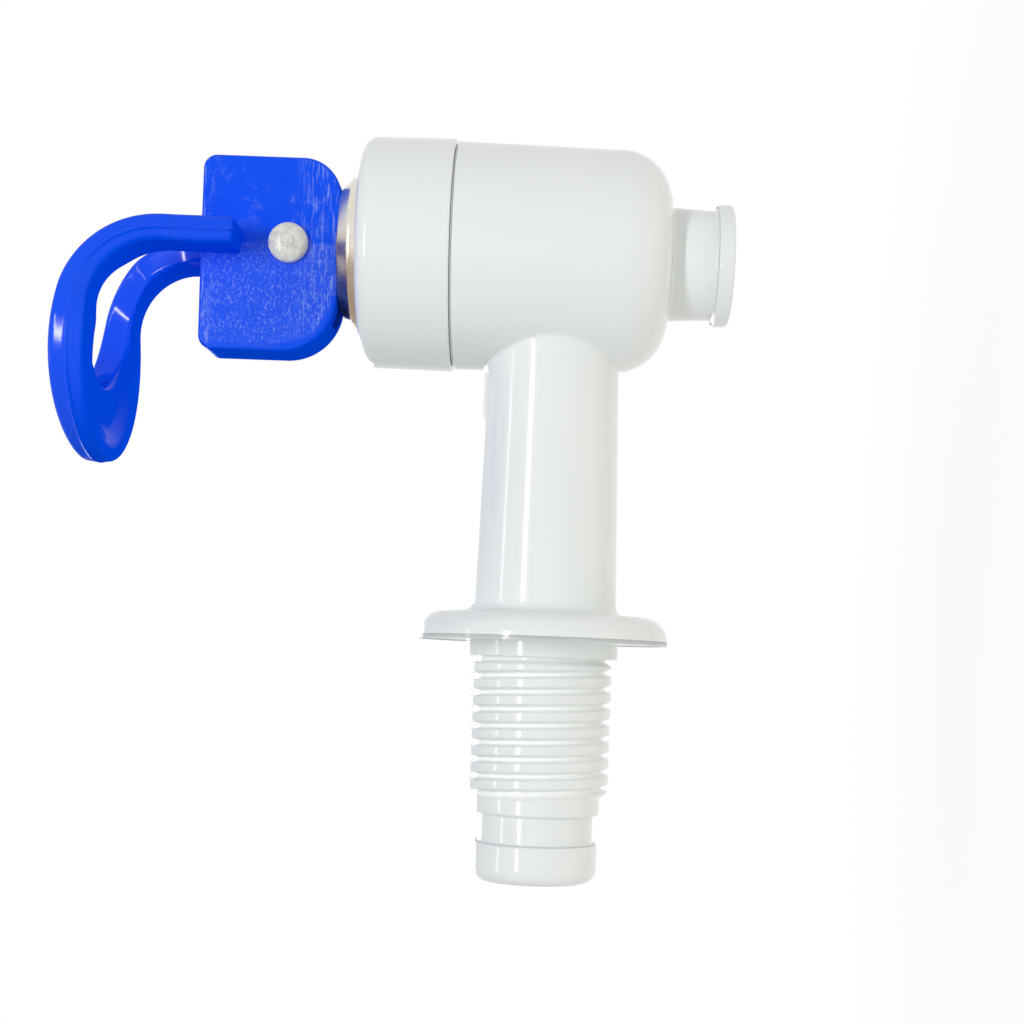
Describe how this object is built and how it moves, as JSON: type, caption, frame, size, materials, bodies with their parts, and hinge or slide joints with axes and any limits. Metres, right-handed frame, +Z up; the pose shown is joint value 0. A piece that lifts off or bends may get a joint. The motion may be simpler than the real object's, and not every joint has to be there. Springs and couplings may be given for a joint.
{
  "type": "push-lever water tap",
  "caption": "Push-lever drinking-water tap: white moulded body with flanged threaded tail, round valve chamber, short spout and a blue loop lever that cams on a polished ring to lift the valve.",
  "frame": {"origin": "centre of the flange face that seats on the tank wall, on the tail's axis", "axes": "+Z up along the valve, the tail leaves along -X, the front of the tap faces +X, +Y completes a right-handed frame"},
  "size_m": [0.0827, 0.028, 0.073],
  "materials": {
    "white_plastic": "glossy moulded white",
    "polished_steel": "polished pressed sheet",
    "silicone": "satin translucent",
    "natural_nylon": "milky translucent",
    "spring_steel": "drawn wire",
    "blue_plastic": "glossy moulded blue, scuffed on the block's faces"
  },
  "bodies": {
    "housing": {"body": "white_plastic", "bonnet_cap": "white_plastic", "wear_ring": "polished_steel", "return_spring": "spring_steel"},
    "plug": {"seat_cup": "silicone"},
    "stem": {"valve_stem": "natural_nylon"},
    "handle": {"lever": "blue_plastic", "pivot_pin": "natural_nylon"}
  },
  "joints": [
    {"name": "stem_lift", "type": "slide", "parent": "housing", "child": "plug", "axis": [0, 0, 1], "range_m": [0, 0.00345], "stiffness_N_per_m": 60, "springref_m": -0.006, "deforming": ["return_spring", "seat_cup"]},
    {"name": "handle_swivel", "type": "hinge", "parent": "plug", "child": "stem", "pos_m": [0.043, 0, 0], "axis": [0, 0, 1], "continuous": true},
    {"name": "lever_press", "type": "hinge", "parent": "stem", "child": "handle", "pos_m": [0.043, 0, 0.02967], "axis": [0, -1, 0], "range_deg": [0, 35], "stiffness_Nm_per_rad": 0.0005, "springref_deg": -45.84}
  ],
  "couplings": [
    {"joint": "lever_press", "follows": "stem_lift", "rad_per_m": 176.99}
  ]
}
